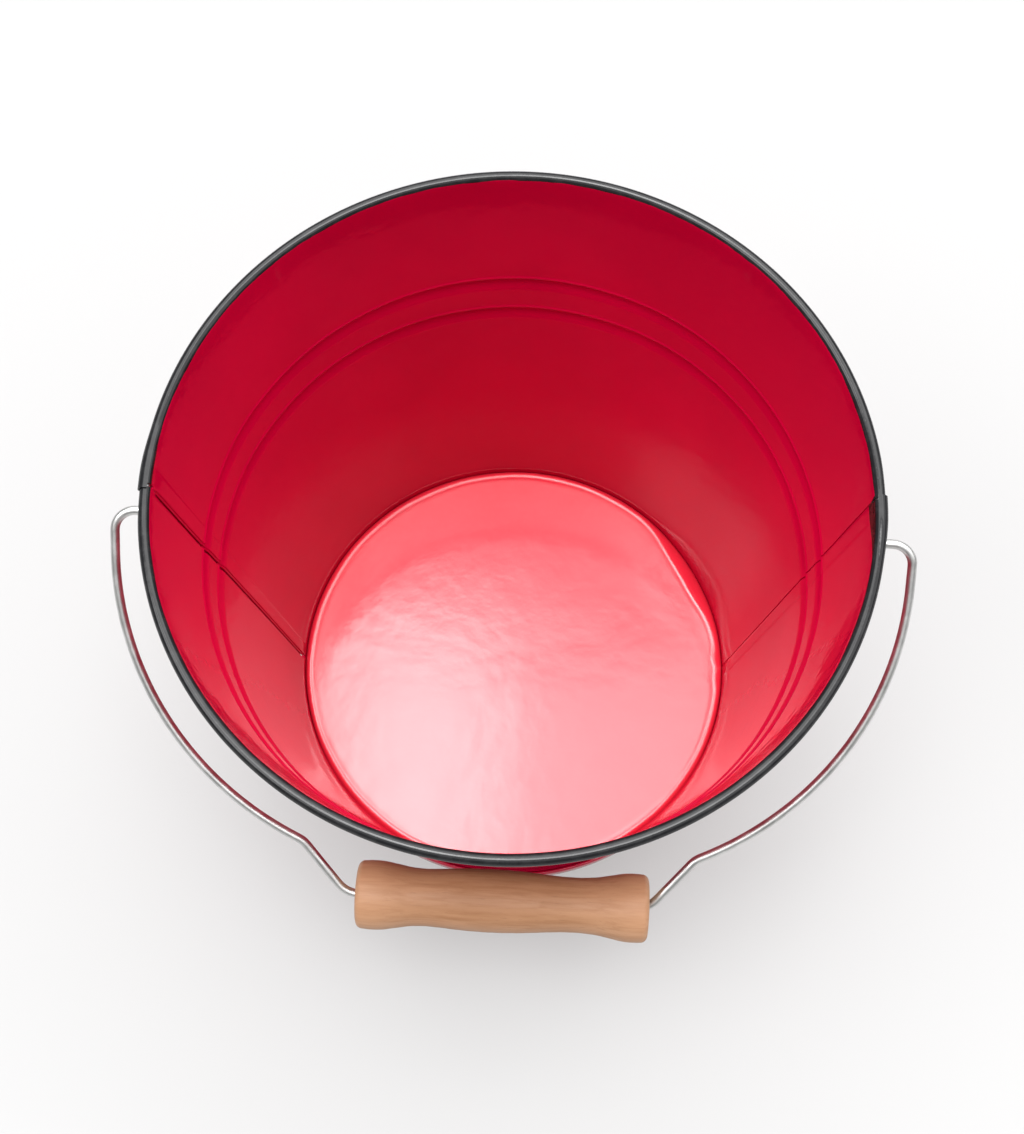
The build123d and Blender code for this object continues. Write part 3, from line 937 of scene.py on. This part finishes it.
# Soft panels of light, by how far they lean from straight up along X and along Y, for a rise of one:
# low and high X, low and high Y, softness of their edges along X and Y, and strength
SKY_PANELS = ((-0.90, 0.70, -0.95, 1.10, 0.15, 0.15, 1.2),
              (-0.60, 0.75, 0.37, 1.00, 0.15, 0.03, 3.4),
              (-0.40, 0.34, -0.20, 0.333, 0.15, 0.035, 7.6),
              (-0.30, 0.30, -0.15, 0.12, 0.10, 0.06, 4.0),
              (0.60, 2.40, -0.70, 1.20, 0.20, 0.20, 1.9),
              (-0.90, 0.90, 1.00, 2.40, 0.20, 0.20, 1.9),
              (-0.12, -0.03, 0.05, 0.325, 0.04, 0.035, 11.0),
              (-1.20, -0.55, -0.60, 0.25, 0.15, 0.12, 5.2))
SKY_AMBIENT = 0.30

FLOOR_REACH = 6.0
FLOOR_GREY = 0.22
FLOOR_GLOW = 0.34

CAMERA_PLACE = (0.01654, -0.26056, 0.87571)
CAMERA_TURN, CAMERA_DIP, CAMERA_ROLL = 5.5, 70.026, -2.571
CAMERA_LENS = 53.97
CAMERA_SHIFT = (0.0167, 0.0007)


def make_floor():
    mesh = bpy.data.meshes.new("floor")
    corners = [(x * FLOOR_REACH, y * FLOOR_REACH, 0) for x, y in ((-1, -1), (1, -1), (1, 1), (-1, 1))]
    mesh.from_pydata(corners, [], [(0, 1, 2, 3)])
    floor = new_object("floor", mesh)
    n = Nodes("pale_floor")
    n.set(Base_Color=(FLOOR_GREY, FLOOR_GREY, FLOOR_GREY, 1), Roughness=0.9, Specular_IOR_Level=0.1,
          Emission_Color=(1, 1, 1, 1), Emission_Strength=FLOOR_GLOW)
    mesh.materials.append(n.material)


def make_sky():
    """The studio around the pail: a wide diffuser, brightest just behind the zenith, and dim sides."""
    world = bpy.data.worlds.new("studio")
    bpy.context.scene.world = world
    n = Nodes(world)
    x, y, z = n.axes(n.add("ShaderNodeTexCoord").outputs["Generated"])
    rise = n.math("MAXIMUM", z, 0.02)
    leans = [n.math("DIVIDE", axis, rise) for axis in (x, y)]
    strength = SKY_AMBIENT
    for low_x, high_x, low_y, high_y, soft_x, soft_y, power in SKY_PANELS:
        shape = power
        for lean, low, high, soft in zip(leans, (low_x, low_y), (high_x, high_y), (soft_x, soft_y)):
            shape = n.math("MULTIPLY", n.ramp(lean, low - soft, low + soft), shape)
            shape = n.math("MULTIPLY", n.ramp(lean, high + soft, high - soft), shape)
        strength = n.math("ADD", shape, strength)
    background = world.node_tree.nodes["Background"]
    background.inputs["Color"].default_value = (1, 1, 1, 1)
    n.join(strength, background.inputs["Strength"])


def make_camera():
    """Above and in front of the pail, looking down into it."""
    camera = bpy.data.cameras.new("camera")
    camera.lens = CAMERA_LENS
    camera.shift_x, camera.shift_y = CAMERA_SHIFT
    camera.clip_start = 0.01
    obj = bpy.data.objects.new("camera", camera)
    obj.location = CAMERA_PLACE
    turn = Matrix.Rotation(radians(CAMERA_TURN), 4, "Z") @ Matrix.Rotation(radians(90 - CAMERA_DIP), 4, "X")
    obj.rotation_euler = (turn @ Matrix.Rotation(radians(CAMERA_ROLL), 4, "Z")).to_euler()
    bpy.context.scene.collection.objects.link(obj)
    bpy.context.scene.camera = obj


make_floor()
make_sky()
make_camera()
bpy.context.scene.view_settings.view_transform = "Standard"
